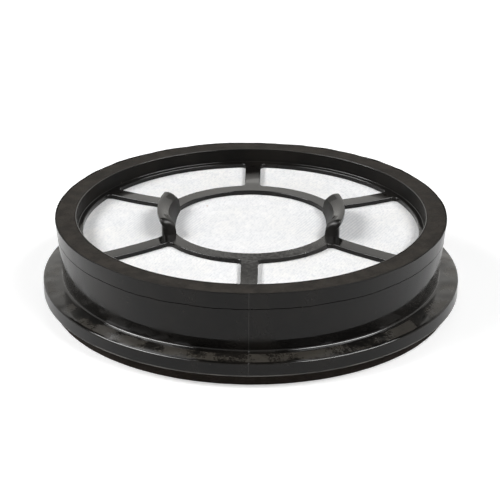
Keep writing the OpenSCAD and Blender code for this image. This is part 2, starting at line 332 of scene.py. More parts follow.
class Effects:
    """Shader node groups that several finishes share, each built once.

    Lengths are in metres, and each layer of fibres is its angle, stretch and share.
    """

    FIBRE_LAYERS = ((1.13, 6.0, 0.4), (0.55, 4.0, 0.2), (2.0, 4.0, 0.2), (1.6, 3.0, 0.2))
    RIB_ANGLE = 1.13
    WAVE_UNIT = math.tau / 20.0
    FILM_IN = (0.0690, 0.0697)
    FILM_OUT = (0.0738, 0.0744)
    FILM_TOP = (0.013, 0.014)
    FILM_SCALES = (85.0, 1300.0)
    FILM_RANGE = (0.60, 0.74)
    EDGE_LINE_HALF = (0.00012, 0.00026)
    EDGE_LINE_IN = (0.0740, 0.0744)
    WITNESS_HALF = (0.00006, 0.00016)
    WITNESS_IN = (0.0668, 0.0672)

    @staticmethod
    def _group(name: str, inputs: dict[str, float], outputs: Iterable[str],
               wire: Callable[[Graph, dict], dict]) -> bpy.types.NodeTree:
        """Builds a group unless it is there already.

        Args:
            name: The group's name.
            inputs: Float inputs with their defaults; a Vector input is always added first.
            outputs: Names of the float outputs.
            wire: Fills the group and returns the socket for each output.

        Returns:
            The node group.
        """
        if name in bpy.data.node_groups:
            return bpy.data.node_groups[name]
        tree = bpy.data.node_groups.new(name, "ShaderNodeTree")
        tree.interface.new_socket("Vector", in_out="INPUT", socket_type="NodeSocketVector")
        for socket, default in inputs.items():
            made = tree.interface.new_socket(socket, in_out="INPUT", socket_type="NodeSocketFloat")
            made.default_value = default
        for socket in outputs:
            tree.interface.new_socket(socket, in_out="OUTPUT", socket_type="NodeSocketFloat")
        graph = Graph(tree)
        ins = graph.add("NodeGroupInput").outputs
        graph.add("NodeGroupOutput", wire(graph, {s.name: s for s in ins if s.name}))
        return tree

    @classmethod
    def grain(cls) -> bpy.types.NodeTree:
        """Fine moulded grain: an even pebble with a faint coarser swell."""
        def wire(g: Graph, ins: dict) -> dict:
            fine = g.noise(ins["Vector"], ins["Scale"], 2.0, 0.6)
            coarse = g.noise(ins["Vector"], g.math("MULTIPLY", ins["Scale"], 0.12), 2.0, 0.5)
            height = g.math("ADD", fine, g.math("MULTIPLY", coarse, ins["Swell"]))
            return {"Height": height}
        return cls._group("Moulded grain", {"Scale": 2500.0, "Swell": 0.5}, ["Height"], wire)

    @classmethod
    def mottle(cls) -> bpy.types.NodeTree:
        """Broad cloudy patches, such as handling haze on plastic."""
        def wire(g: Graph, ins: dict) -> dict:
            cloud = g.noise(ins["Vector"], ins["Scale"], 4.0, 0.55)
            return {"Mask": g.span(cloud, 0.38, 0.66)}
        return cls._group("Haze patches", {"Scale": 60.0}, ["Mask"], wire)

    @classmethod
    def specks(cls) -> bpy.types.NodeTree:
        """Sparse small dust specks."""
        def wire(g: Graph, ins: dict) -> dict:
            cells = g.add("ShaderNodeTexVoronoi", {"Vector": ins["Vector"], "Scale": ins["Scale"]})
            dots = g.span(cells.outputs["Distance"], 0.05, 0.16, 1.0, 0.0)
            chosen = g.noise(ins["Vector"], g.math("MULTIPLY", ins["Scale"], 0.31), 1.0)
            return {"Mask": g.math("MULTIPLY", dots, g.span(chosen, 0.6, 0.68))}
        return cls._group("Dust specks", {"Scale": 500.0}, ["Mask"], wire)

    @classmethod
    def fibres(cls) -> bpy.types.NodeTree:
        """Fine tangled fibres, most of them along the ribs."""
        def wire(g: Graph, ins: dict) -> dict:
            layers = []
            for angle, stretch, share in cls.FIBRE_LAYERS:
                along = g.turned(ins["Vector"], angle, stretch)
                layer = g.add("ShaderNodeTexNoise",
                              {"Vector": along, "Scale": ins["Scale"], "Detail": 3.0,
                               "Roughness": 0.6, "Distortion": 0.4})
                layers.append(g.math("MULTIPLY", layer.outputs[0], share))
            pairs = [g.math("ADD", *layers[:2]), g.math("ADD", *layers[2:])]
            height = g.math("ADD", *pairs)
            return {"Height": height}
        return cls._group("Fleece fibres", {"Scale": 300.0}, ["Height"], wire)

    @classmethod
    def ribbing(cls) -> bpy.types.NodeTree:
        """Fine slanting ribs that show most beside the two finger tabs."""
        def wire(g: Graph, ins: dict) -> dict:
            scale = g.math("DIVIDE", cls.WAVE_UNIT, ins["Pitch"])
            ribs = g.add("ShaderNodeTexWave", {"Vector": g.turned(ins["Vector"], cls.RIB_ANGLE),
                                               "Scale": scale, "Distortion": 5.0, "Detail": 1.0,
                                               "Detail Scale": 0.12},
                         wave_type="BANDS", bands_direction="Y", wave_profile="SIN")
            parts = g.add("ShaderNodeSeparateXYZ", {0: ins["Vector"]}).outputs
            aside = g.math("SUBTRACT", g.math("ABSOLUTE", parts["X"]), ins["Tab"])
            away = g.length(g.plan(aside, parts["Y"]))
            share = g.span(away, 0.004, ins["Reach"], 1.0, ins["Elsewhere"])
            return {"Mask": g.math("MULTIPLY", ribs.outputs["Fac"], share)}
        inputs = {"Pitch": 0.001, "Tab": 0.03, "Reach": 0.02, "Elsewhere": 0.2}
        return cls._group("Fleece ribbing", inputs, ["Mask"], wire)

    @classmethod
    def spot(cls) -> bpy.types.NodeTree:
        """One small round spot at a place on the XY plane."""
        def wire(g: Graph, ins: dict) -> dict:
            parts = g.add("ShaderNodeSeparateXYZ", {0: ins["Vector"]}).outputs
            offset = g.plan(g.math("SUBTRACT", parts["X"], ins["X"]),
                            g.math("SUBTRACT", parts["Y"], ins["Y"]))
            return {"Mask": g.span(g.length(offset), 0.0001, ins["Radius"], 1.0, 0.0)}
        return cls._group("Single spot", {"X": 0.0, "Y": 0.0, "Radius": 0.0004}, ["Mask"], wire)

    @classmethod
    def flange_film(cls) -> bpy.types.NodeTree:
        """Ragged patches of dull film on the flange's top face."""
        def wire(g: Graph, ins: dict) -> dict:
            parts = g.add("ShaderNodeSeparateXYZ", {0: ins["Vector"]}).outputs
            r = g.length(g.plan(parts["X"], parts["Y"]))
            ring = g.math("MULTIPLY", g.span(r, *cls.FILM_IN), g.span(r, *cls.FILM_OUT, 1.0, 0.0))
            ring = g.math("MULTIPLY", ring, g.span(parts["Z"], *cls.FILM_TOP, 1.0, 0.0))
            broad = g.noise(ins["Vector"], cls.FILM_SCALES[0], 3.0, 0.6)
            fine = g.noise(ins["Vector"], cls.FILM_SCALES[1], 3.0, 0.7)
            patches = g.span(g.math("ADD", broad, g.math("MULTIPLY", fine, 0.3)), *cls.FILM_RANGE)
            return {"Mask": g.math("MULTIPLY", ring, patches)}
        return cls._group("Flange film", {}, ["Mask"], wire)

    @classmethod
    def edge_wear_and_sheen(cls) -> bpy.types.NodeTree:
        """Narrow pale line along the flange's lower edge, stronger in places: a painted sheen of
        its rounded edge, partly wear.
        """
        def wire(g: Graph, ins: dict) -> dict:
            parts = g.add("ShaderNodeSeparateXYZ", {0: ins["Vector"]}).outputs
            off = g.math("ABSOLUTE", g.math("SUBTRACT", parts["Z"], ins["Level"]))
            line = g.span(off, *cls.EDGE_LINE_HALF, 1.0, 0.0)
            patchy = g.span(g.noise(ins["Vector"], 60.0, 2.0), 0.35, 0.60, 0.25, 1.0)
            outside = g.span(g.length(g.plan(parts["X"], parts["Y"])), *cls.EDGE_LINE_IN)
            return {"Mask": g.math("MULTIPLY", g.math("MULTIPLY", line, patchy), outside)}
        return cls._group("Edge wear and painted sheen", {"Level": 0.0}, ["Mask"], wire)

    @classmethod
    def witness(cls) -> bpy.types.NodeTree:
        """Thin mould witness line down the front and the back, in the plane of two spokes."""
        def wire(g: Graph, ins: dict) -> dict:
            parts = g.add("ShaderNodeSeparateXYZ", {0: ins["Vector"]}).outputs
            off = g.math("ABSOLUTE", g.math("SUBTRACT", parts["X"], ins["Place"]))
            line = g.span(off, *cls.WITNESS_HALF, 1.0, 0.0)
            outside = g.span(g.math("ABSOLUTE", parts["Y"]), *cls.WITNESS_IN)
            return {"Mask": g.math("MULTIPLY", line, outside)}
        return cls._group("Witness line", {"Place": 0.0}, ["Mask"], wire)


class Finish:
    """Base of the finishes: starts a material and places the shared effects in it."""

    def _start(self, name: str) -> tuple[bpy.types.Material, Graph, bpy.types.Node,
                                         bpy.types.NodeSocket]:
        """Makes an empty material.

        Args:
            name: The material's name.

        Returns:
            The material, its graph, its Principled BSDF and the object coordinates.
        """
        material = bpy.data.materials.new(name)
        material.use_nodes = True
        material.node_tree.nodes.clear()
        graph = Graph(material.node_tree)
        shader = graph.add("ShaderNodeBsdfPrincipled")
        graph.add("ShaderNodeOutputMaterial", {"Surface": shader.outputs[0]})
        coords = graph.add("ShaderNodeTexCoord").outputs["Object"]
        return material, graph, shader, coords

    @staticmethod
    def _effect(graph: Graph, group: bpy.types.NodeTree, vector: bpy.types.NodeSocket,
                **values: float) -> bpy.types.Node:
        """Places a shared group with its own values."""
        node = graph.add("ShaderNodeGroup", node_tree=group)
        graph.tree.links.new(vector, node.inputs["Vector"])
        for name, value in values.items():
            node.inputs[name].default_value = value
        return node


@dataclass(frozen=True)
class PlasticFinish(Finish):
    """Semi-gloss moulded plastic with a faint grain, haze and dust."""

    name: str = "Black moulding"
    colour: Rgb = (0.0050, 0.0046, 0.0042)
    haze_colour: Rgb = (0.0088, 0.0076, 0.0064)
    film_colour: Rgb = (0.038, 0.034, 0.028)
    film_roughness: float = 0.30
    # Pale line colour: painted sheen of the flange's rounded lower edge, partly wear.
    wear_and_sheen_colour: Rgb = (0.125, 0.120, 0.110)
    edge_line_z: float = 0.0
    line_colour: Rgb = (0.05, 0.048, 0.045)
    dust_colour: Rgb = (0.20, 0.18, 0.15)
    roughness: tuple[float, float] = (0.06, 0.22)
    ior: float = 1.50
    face_tint: float = 0.45
    grain: float = 0.02
    witness_x: float = 0.0003
    rubbed_at: tuple[float, float] = (0.005, -0.0315)
    rubbed_reach: float = 0.036
    rubbed_roughness: float = 0.60

    def make(self) -> bpy.types.Material:
        """Returns the finished material."""
        material, g, shader, coords = self._start(self.name)
        haze = self._effect(g, Effects.mottle(), coords, Scale=70.0).outputs["Mask"]
        dust = self._effect(g, Effects.specks(), coords, Scale=650.0).outputs["Mask"]
        line = self._effect(g, Effects.witness(), coords, Place=self.witness_x).outputs["Mask"]
        grain = self._effect(g, Effects.grain(), coords, Scale=2600.0, Swell=0.8).outputs["Height"]
        film = self._effect(g, Effects.flange_film(), coords).outputs["Mask"]
        wear_and_sheen = self._effect(g, Effects.edge_wear_and_sheen(), coords, Level=self.edge_line_z).outputs["Mask"]
        rubbed = self._effect(g, Effects.spot(), coords, X=self.rubbed_at[0], Y=self.rubbed_at[1],
                              Radius=self.rubbed_reach).outputs["Mask"]
        scuffs = g.span(g.noise(coords, 800.0, 4.0, 0.65), 0.30, 0.68)
        rubbed = g.math("MULTIPLY", rubbed, scuffs, clamp=True)
        colour = g.mix(haze, rgba(self.colour), rgba(self.haze_colour))
        colour = g.mix(film, colour, rgba(self.film_colour))
        # Paints a pale line on the flange's lower edge: sheen of the rounded edge, partly wear.
        colour = g.mix(wear_and_sheen, colour, rgba(self.wear_and_sheen_colour))
        colour = g.mix(g.math("MULTIPLY", line, 0.5), colour, rgba(self.line_colour))
        colour = g.mix(g.math("MULTIPLY", dust, 0.3), colour, rgba(self.dust_colour))
        rough = g.span(haze, 0.0, 1.0, *self.roughness)
        dulled = g.math("MULTIPLY", film, self.film_roughness - self.roughness[0])
        rough = g.math("ADD", rough, dulled)
        rough = g.math("ADD", rough, g.math("MULTIPLY", rubbed, self.rubbed_roughness))
        height = g.math("ADD", g.math("MULTIPLY", grain, self.grain), g.math("MULTIPLY", line, 0.6))
        bump = g.add("ShaderNodeBump", {"Strength": 0.5, "Distance": 0.0001, "Height": height})
        g.tree.links.new(colour, shader.inputs["Base Color"])
        g.tree.links.new(rough, shader.inputs["Roughness"])
        g.tree.links.new(bump.outputs[0], shader.inputs["Normal"])
        shader.inputs["IOR"].default_value = self.ior
        shader.inputs["Specular Tint"].default_value = rgba((self.face_tint,) * 3)
        return material


@dataclass(frozen=True)
class RubberFinish(Finish):
    """Matte soft rubber or foam with a fine texture."""

    name: str = "Rim band"
    colour: Rgb = (0.0150, 0.0128, 0.0108)
    wear_and_sheen_colour: Rgb = (0.039, 0.034, 0.029)
    roughness: tuple[float, float] = (0.62, 0.80)
    scale: float = 1800.0
    depth: float = 0.00012
    specular: float = 0.06

    def make(self) -> bpy.types.Material:
        """Returns the finished material."""
        material, g, shader, coords = self._start(self.name)
        shader.inputs["Specular IOR Level"].default_value = self.specular
        haze = self._effect(g, Effects.mottle(), coords, Scale=180.0).outputs["Mask"]
        grain = self._effect(g, Effects.grain(), coords, Scale=self.scale,
                             Swell=1.2).outputs["Height"]
        wear_and_sheen = g.math("ADD", g.math("MULTIPLY", grain, 0.7), g.math("MULTIPLY", haze, 0.4))
        wear_and_sheen = g.span(wear_and_sheen, 0.5, 1.4)
        colour = g.mix(wear_and_sheen, rgba(self.colour), rgba(self.wear_and_sheen_colour))
        bump = g.add("ShaderNodeBump", {"Strength": 0.6, "Distance": self.depth, "Height": grain})
        g.tree.links.new(colour, shader.inputs["Base Color"])
        g.tree.links.new(g.span(haze, 0.0, 1.0, *self.roughness), shader.inputs["Roughness"])
        g.tree.links.new(bump.outputs[0], shader.inputs["Normal"])
        return material


@dataclass(frozen=True)
class FleeceFinish(Finish):
    """White bonded fleece: fine fibres, soft clumps, faint stains and one stray speck."""

    name: str = "White fleece"
    colour: Rgb = (0.945, 0.945, 0.945)
    thin_colour: Rgb = (0.75, 0.76, 0.775)
    stain: Rgb = (0.93, 0.915, 0.885)
    speck_colour: Rgb = (0.50, 0.24, 0.09)
    speck_at: tuple[float, float] = (-0.01643, 0.01761)
    rib_pitch: float = 0.00112
    rib_place: float = 0.031
    rib_reach: float = 0.022
    rib_elsewhere: float = 0.12
    depth: float = 0.0003

    def make(self) -> bpy.types.Material:
        """Returns the finished material."""
        material, g, shader, coords = self._start(self.name)
        fibres = self._effect(g, Effects.fibres(), coords, Scale=420.0).outputs["Height"]
        clumps = self._effect(g, Effects.mottle(), coords, Scale=150.0).outputs["Mask"]
        stains = self._effect(g, Effects.mottle(), coords, Scale=38.0).outputs["Mask"]
        speck = self._effect(g, Effects.spot(), coords, X=self.speck_at[0],
                             Y=self.speck_at[1]).outputs["Mask"]
        ribs = self._effect(g, Effects.ribbing(), coords, Pitch=self.rib_pitch, Tab=self.rib_place,
                            Reach=self.rib_reach, Elsewhere=self.rib_elsewhere).outputs["Mask"]
        tone = g.math("ADD", g.span(fibres, 0.38, 0.56, 0.0, 0.8), g.math("MULTIPLY", clumps, 0.2))
        tone = g.math("SUBTRACT", tone, g.math("MULTIPLY", ribs, 0.9), clamp=True)
        full = g.mix(g.math("MULTIPLY", stains, 0.7), rgba(self.colour), rgba(self.stain))
        colour = g.mix(tone, rgba(self.thin_colour), full)
        colour = g.mix(speck, colour, rgba(self.speck_colour))
        height = g.math("ADD", fibres, g.math("MULTIPLY", clumps, 0.15))
        height = g.math("SUBTRACT", height, g.math("MULTIPLY", ribs, 0.3))
        bump = g.add("ShaderNodeBump", {"Strength": 0.6, "Distance": self.depth, "Height": height})
        g.tree.links.new(colour, shader.inputs["Base Color"])
        g.tree.links.new(bump.outputs[0], shader.inputs["Normal"])
        shader.inputs["Roughness"].default_value = 0.9
        shader.inputs["Specular IOR Level"].default_value = 0.0
        return material


@dataclass(frozen=True)
class PaperFinish(Finish):
    """Filter paper, resin or glue: a pale matte body with a soft mottle."""

    name: str = "Filter paper"
    colour: Rgb = (0.74, 0.73, 0.69)
    shade: Rgb = (0.64, 0.62, 0.56)
    roughness: tuple[float, float] = (0.8, 0.95)
    scale: float = 900.0
    depth: float = 0.00015

    def make(self) -> bpy.types.Material:
        """Returns the finished material."""
        material, g, shader, coords = self._start(self.name)
        grain = self._effect(g, Effects.grain(), coords, Scale=self.scale,
                             Swell=1.0).outputs["Height"]
        cloud = self._effect(g, Effects.mottle(), coords, Scale=90.0).outputs["Mask"]
        tone = g.math("MULTIPLY", g.math("ADD", grain, cloud), 0.5)
        colour = g.mix(tone, rgba(self.shade), rgba(self.colour))
        bump = g.add("ShaderNodeBump", {"Strength": 0.5, "Distance": self.depth, "Height": grain})
        g.tree.links.new(colour, shader.inputs["Base Color"])
        g.tree.links.new(g.span(cloud, 0.0, 1.0, *self.roughness), shader.inputs["Roughness"])
        g.tree.links.new(bump.outputs[0], shader.inputs["Normal"])
        return material


def dress(piece: bpy.types.Object, finish: Finish, slot: Slot,
          *stands_for: str) -> bpy.types.Object:
    """Gives a new piece its material and its body.

    Args:
        piece: The finished piece.
        finish: Its finish.
        slot: The record's slot; not used.
        stands_for: CAD nodes that it replaces.

    Returns:
        The same piece.
    """
    piece.data.materials.clear()
    piece.data.materials.append(finish.make())
    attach(piece, "root")
    if stands_for:
        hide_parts(*stands_for)
    LOG.info("%s: %d faces", piece.name, len(piece.data.polygons))
    return piece


@dataclass(frozen=True)
class FingerTab:
    """One finger tab: a bowed blade whose top leans outwards, with a lip and rounded ends."""

    length: float = 25.6
    thick: float = 4.95
    inset: float = 1.7
    foot_bow: float = 1.2
    inner_lean: float = 3.0
    outer_lean: float = 1.5
    end_lean: float = 0.2
    end_draft: float = 0.045
    rise: float = 0.3
    top_fall: float = 1.5
    top_bulge: float = 0.55
    lip: float = 1.4
    lip_fade: float = 1.0
    lip_round: float = 0.45
    crease_round: float = 0.9
    crease_sink: float = 0.8
    crease_turn: float = 1.6
    end_round: float = 2.5
    end_round_above: float = 1 / 3
    plan_round: float = 2.2
    arc_steps: int = 8
    stations: int = 56

    def in_x(self, moulding: "Moulding") -> float:
        """Distance of the blade's inner foot from the middle of the filter, at its ends."""
        return moulding.ring_in_r - self.inset - self.foot_bow

    def section(self, height: float) -> list[tuple[float, float]]:
        """Returns the outline across the upright blade.

        Args:
            height: Height of its outer top edge above its foot.

        Returns:
            Points as the distance from its inner face and the height above its foot.
        """
        low = height - self.top_fall
        tilt = math.degrees(math.atan2(self.top_fall, self.thick))
        steps = [i / self.arc_steps for i in range(self.arc_steps + 1)]
        crease = [(self.crease_round * (1 + math.cos(t)),
                   low + self.crease_round * (math.sin(t) - self.crease_sink))
                  for t in (math.radians(180 - (90 - self.crease_turn * tilt) * f) for f in steps)]
        lip = [(self.thick - self.lip_round * (1 - math.cos(t)),
                height - self.lip_round * (1 - math.sin(t)))
               for t in (math.radians(90 - 90 * f) for f in steps)]
        (inner_p, inner_h), (outer_p, outer_h) = crease[-1], lip[0]
        run = [(inner_p + (outer_p - inner_p) * f,
                inner_h + (outer_h - inner_h) * f + self.top_bulge * 4 * f * (1 - f))
               for f in steps[1:-1]]
        under_lip = [(self.thick, height - self.lip - self.lip_fade * f) for f in steps]
        return [(0.0, 0.0), *crease, *run, *lip, *under_lip, (self.thick, 0.0)]

    def rounding(self, along: float, radius: float) -> float:
        """How far a rounded end has fallen away at a place along the blade.

        Args:
            along: The place, from -1 at one end to 1 at the other.
            radius: Radius of the rounding.

        Returns:
            0 up to where the rounding starts, and the radius at the very end.
        """
        past = min(1.0, max(0.0, 1 - (1 - abs(along)) * self.length / 2 / radius))
        return radius * (1 - math.sqrt(1 - past * past))

    def blade(self, moulding: "Moulding", side: int) -> bmesh.types.BMesh:
        """Draws the section, runs it along the blade and bends the result into shape.

        Args:
            moulding: The frame that the tab stands on.
            side: 1 for the right tab and -1 for the left one.

        Returns:
            The closed blade.
        """
        foot_z = moulding.ring_z - moulding.grid_t
        height = moulding.tab_top_z + self.rise - foot_z
        bm = bmesh.new()
        bm.faces.new([bm.verts.new((p, -1.0, h)) for p, h in self.section(height)])
        pull_solid(bm, (0, 2, 0))
        for i in range(1, self.stations):
            cut_across(bm, (0, -math.cos(math.pi * i / self.stations), 0), (0, 1, 0), NEAR * 10)
        in_x = self.in_x(moulding)
        reach = self.length / 2 / in_x
        for vert in bm.verts:
            p, along, h = vert.co
            rest = 1 - along * along
            across = min(1.0, max(0.0, p / self.thick))
            lean = self.inner_lean + (self.outer_lean - self.inner_lean) * across
            lean *= self.end_lean + (1 - self.end_lean) * rest
            below_lip = min(1.0, max(0.0, (height - h - self.lip) / self.lip_fade))
            outer_share = 0.5 + 0.5 * math.cos(math.pi * below_lip)
            share = h / height if p < self.thick / 2 else outer_share
            cut = self.rounding(along, self.plan_round) * p / self.thick
            x = in_x + p - cut + self.foot_bow * rest + lean * share
            y = x * reach * along * (1 - self.end_draft * h / height)
            if h > height * self.end_round_above:
                h -= self.rounding(along, self.end_round)
            vert.co = Vector((side * x, y, foot_z + h)) * MM
        face_outwards(bm)
        return bm


@dataclass
class Moulding:
    """The black frame: walls, rim, recess, ledge, grid, finger tabs and flange in one moulding."""

    rim_r: float = 70.0
    wall_taper: float = 2.2
    wall_t: float = 2.0
    foot_fillet: float = 0.9
    seam_drop: float = 6.0
    seam_depth: float = 0.25
    seam_half: float = 0.13
    flange_edge_h: float = 4.8
    flange_rise: float = 0.8
    flange_bow: float = 2.2
    flange_round: float = 0.45
    flange_low_round: float = 0.4
    band_w: float = 6.8
    lip_w: float = 0.4
    ledge_drop: float = 5.2
    ledge_w: float = 1.9
    recess_draft: float = 0.3
    grid_crown: float = 1.3
    grid_t: float = 1.6
    spoke_n: int = 6
    spoke_w: float = 5.8
    ring_in_r: float = 28.8
    ring_w: float = 5.3
    spoke_fillet: float = 1.8
    fillet_steps: int = 7
    spoke_cuts: int = 10
    cuts_from: tuple[float, float] = (0.4, 0.6)
    dimple_d: float = 1.5
    dimple_t: float = 0.35
    dimple_facets: int = 24
    tab: FingerTab = FingerTab()
    skirt_t: float = 1.8
    tuck_w: float = 1.2
    rib_n: int = 18
    rib_t: float = 1.2
    rib_set: float = 2.0
    rib_top_in: float = 1.0
    web_t: float = 2.0
    gasket_w: float = 4.8
    gasket_setback: float = 3.0
    seal_clear: float = 0.1
    edge_round: float = 0.28
    # Height of the painted sheen line, partly wear, above the flange's bottom.
    edge_line_rise: float = 0.35
    sink_depth: float = 0.24
    sink_fade: tuple[float, float] = (1.2, 0.8)
    sink_at_edge: float = 0.35
    sink_scales: tuple[float, float] = (95.0, 230.0)
    relief_past: float = 5.0
    relief_below: float = 2.0
    relief_h: float = 8.0
    satin_inward: float = 0.75
    steps: int = 360

    FLANGE_STATIONS = (0.10, 0.17, 0.24, 0.31, 0.38, 0.46, 0.54, 0.62, 0.70, 0.78, 0.85)
    PLAIN, MATT, SATIN = 0, 1, 2

    def __post_init__(self) -> None:
        """Works out the radii and levels that follow from the driving sizes and the frame."""
        frame, band, gasket = NodeBox.of("frame"), NodeBox.of("rim_band"), NodeBox.of("gasket")
        self.flange_r = frame.radius
        self.low_z = frame.low
        self.tab_top_z = frame.high
        self.body_h = band.high
        self.band_z = band.low
        self.groove_z = gasket.high
        self.wall_base_r = self.rim_r - self.wall_taper
        self.band_out_r = self.rim_r - self.lip_w
        self.band_in_r = self.band_out_r - self.band_w
        self.recess_r = self.band_in_r - self.lip_w
        self.ledge_out_r = self.recess_r - self.recess_draft
        self.ledge_in_r = self.ledge_out_r - self.ledge_w
        self.skirt_in_r = self.ledge_in_r + self.tuck_w
        self.skirt_out_r = self.skirt_in_r + self.skirt_t
        self.ring_out_r = self.ring_in_r + self.ring_w
        self.flange_edge_z = self.low_z + self.flange_edge_h
        self.flange_top_z = self.flange_edge_z + self.flange_rise
        self.seam_z = self.body_h - self.seam_drop
        self.ledge_z = self.body_h - self.ledge_drop
        self.ring_z = self.ledge_z + self.grid_crown
        self.ledge_low_z = self.ledge_z - self.grid_t
        self.channel_top_z = self.band_z - self.web_t

    def wall_r(self, z: float) -> float:
        """Radius of the tapered outer wall at a height."""
        share = (z - self.flange_top_z) / (self.body_h - self.flange_top_z)
        return self.wall_base_r + self.wall_taper * share

    def crown(self, r: float) -> float:
        """Height of the grid above the ledge at a radius."""
        if r <= self.ring_out_r:
            return self.grid_crown
        if r >= self.ledge_in_r:
            return 0.0
        share = (r - self.ring_out_r) / (self.ledge_in_r - self.ring_out_r)
        return self.grid_crown * (1 - share) ** 2

    def section(self) -> list[Corner]:
        """Returns the closed section of the walls, rim, ledge, flange and gasket groove."""
        groove_in = self.flange_r - self.gasket_setback - self.gasket_w - self.seal_clear
        groove_out = self.flange_r - self.gasket_setback + self.seal_clear
        channel_in = self.recess_r + self.skirt_t
        channel_out_low = self.wall_r(self.low_z) - self.wall_t
        channel_out_high = self.wall_r(self.channel_top_z) - self.wall_t
        seam = []
        for side in (-1, 0, 1):
            z = self.seam_z + side * self.seam_half
            seam.append(Corner(self.wall_r(z) - (0 if side else self.seam_depth), z))
        flange = [Corner(self.flange_r + (self.wall_base_r - self.flange_r) * t,
                         self.flange_edge_z + self.flange_rise * (1 - (1 - t) ** self.flange_bow))
                  for t in self.FLANGE_STATIONS]
        return [
            Corner(groove_out, self.low_z),
            Corner(self.flange_r, self.low_z, self.flange_low_round, 5),
            Corner(self.flange_r, self.flange_edge_z, self.flange_round, 5),
            *flange,
            Corner(self.wall_base_r, self.flange_top_z, self.foot_fillet, 6),
            *seam,
            Corner(self.rim_r, self.body_h, self.lip_w / 2, 3),
            Corner(self.band_out_r, self.body_h),
            Corner(self.band_out_r, self.band_z),
            Corner(self.band_in_r, self.band_z),
            Corner(self.band_in_r, self.body_h),
            Corner(self.recess_r, self.body_h, self.lip_w / 2, 3),
            Corner(self.ledge_out_r, self.ledge_z, self.edge_round, 3),
            Corner(self.ledge_in_r, self.ledge_z, self.edge_round, 3),
            Corner(self.ledge_in_r, self.ledge_low_z),
            Corner(self.skirt_in_r, self.ledge_low_z),
            Corner(self.skirt_in_r, self.low_z, self.edge_round, 2),
            Corner(self.skirt_out_r, self.low_z, self.edge_round, 2),
            Corner(self.skirt_out_r, self.ledge_low_z - self.skirt_t),
            Corner(channel_in, self.ledge_low_z),
            Corner(channel_in, self.channel_top_z),
            Corner(channel_out_high, self.channel_top_z),
            Corner(channel_out_low, self.low_z, self.edge_round, 2),
            Corner(groove_in, self.low_z, self.edge_round, 2),
            Corner(groove_in, self.groove_z),
            Corner(groove_out, self.groove_z),
        ]

    def shell(self) -> bmesh.types.BMesh:
        """Turns the section and lets the flange's thick top sink in soft waves."""
        bm = Lathe(self.section(), self.steps).turn()
        inner = self.wall_base_r + self.foot_fillet * 0.6
        outer = self.flange_r - self.flange_round * 0.8
        broad, fine = self.sink_scales
        for vert in bm.verts:
            x, y, z = vert.co
            r = math.hypot(x, y) / MM
            if z / MM > self.flange_edge_z - self.flange_round and r > inner:
                across = min(1.0, max(0.0, (r - inner) / self.sink_fade[0]))
                at_edge = (outer - r) / self.sink_fade[1] + self.sink_at_edge
                across *= min(1.0, max(0.0, at_edge))
                wave = noise.noise(Vector((x, y, 0.0)) * broad)
                wave += 0.5 * noise.noise(Vector((x, y, 0.03)) * fine)
                vert.co.z += self.sink_depth * MM * wave * across
        return bm

    def grid_plan(self) -> bmesh.types.BMesh:
        """Draws one spoke with its share of the ring in plan, as one face, with its spoke along +Y.

        Returns:
            The flat face, at height 0.
        """
        half = math.pi / self.spoke_n
        ring_fill = self._fillet(self.ring_out_r, outside=True)
        ledge_fill = self._fillet(self.ledge_in_r, outside=False)
        end_r = self.ledge_in_r + self.ledge_w / 2
        start_turn, end_turn = (math.atan2(*fill) for fill in (ring_fill[0], ledge_fill[-1]))
        half_outline = [*self._arc(self.ring_in_r, 0.0, half, 16),
                        *self._arc(self.ring_out_r, half, start_turn, 12),
                        *ring_fill, *ledge_fill, *self._arc(end_r, end_turn, 0.0, 6)]
        bm = bmesh.new()
        verts = [bm.verts.new((x * MM, y * MM, 0.0)) for x, y in half_outline]
        bm.faces.new(verts)
        bmesh.ops.remove_doubles(bm, verts=bm.verts, dist=NEAR * 10)
        geom = bm.verts[:] + bm.edges[:] + bm.faces[:]
        bmesh.ops.mirror(bm, geom=geom, matrix=Matrix.Identity(4), merge_dist=NEAR * 10, axis="X")
        return bm

    @staticmethod
    def _arc(r: float, start: float, end: float, count: int) -> list[tuple[float, float]]:
        """Points on a circle, at turns measured from +Y towards +X."""
        turns = [start + (end - start) * i / count for i in range(count + 1)]
        return [(r * math.sin(t), r * math.cos(t)) for t in turns]

    def _fillet(self, ring_r: float, outside: bool) -> list[tuple[float, float]]:
        """Arc of the corner fill between a ring and a spoke's side, going outwards along the spoke.

        Args:
            ring_r: Radius of the ring's edge.
            outside: True where the fill lies outside that edge.

        Returns:
            Points from the ring's side to the spoke's side, or back at the outer end.
        """
        centre_r = ring_r + self.spoke_fillet * (1 if outside else -1)
        cx = self.spoke_w / 2 + self.spoke_fillet
        cy = math.sqrt(centre_r**2 - cx**2)
        toward = math.atan2(cy, cx) + (math.pi if outside else 0.0)
        start, end = (toward, math.pi) if outside else (math.pi, toward)
        angles = [start + (end - start) * i / self.fillet_steps
                  for i in range(self.fillet_steps + 1)]
        return [(cx + self.spoke_fillet * math.cos(a), cy + self.spoke_fillet * math.sin(a))
                for a in angles]

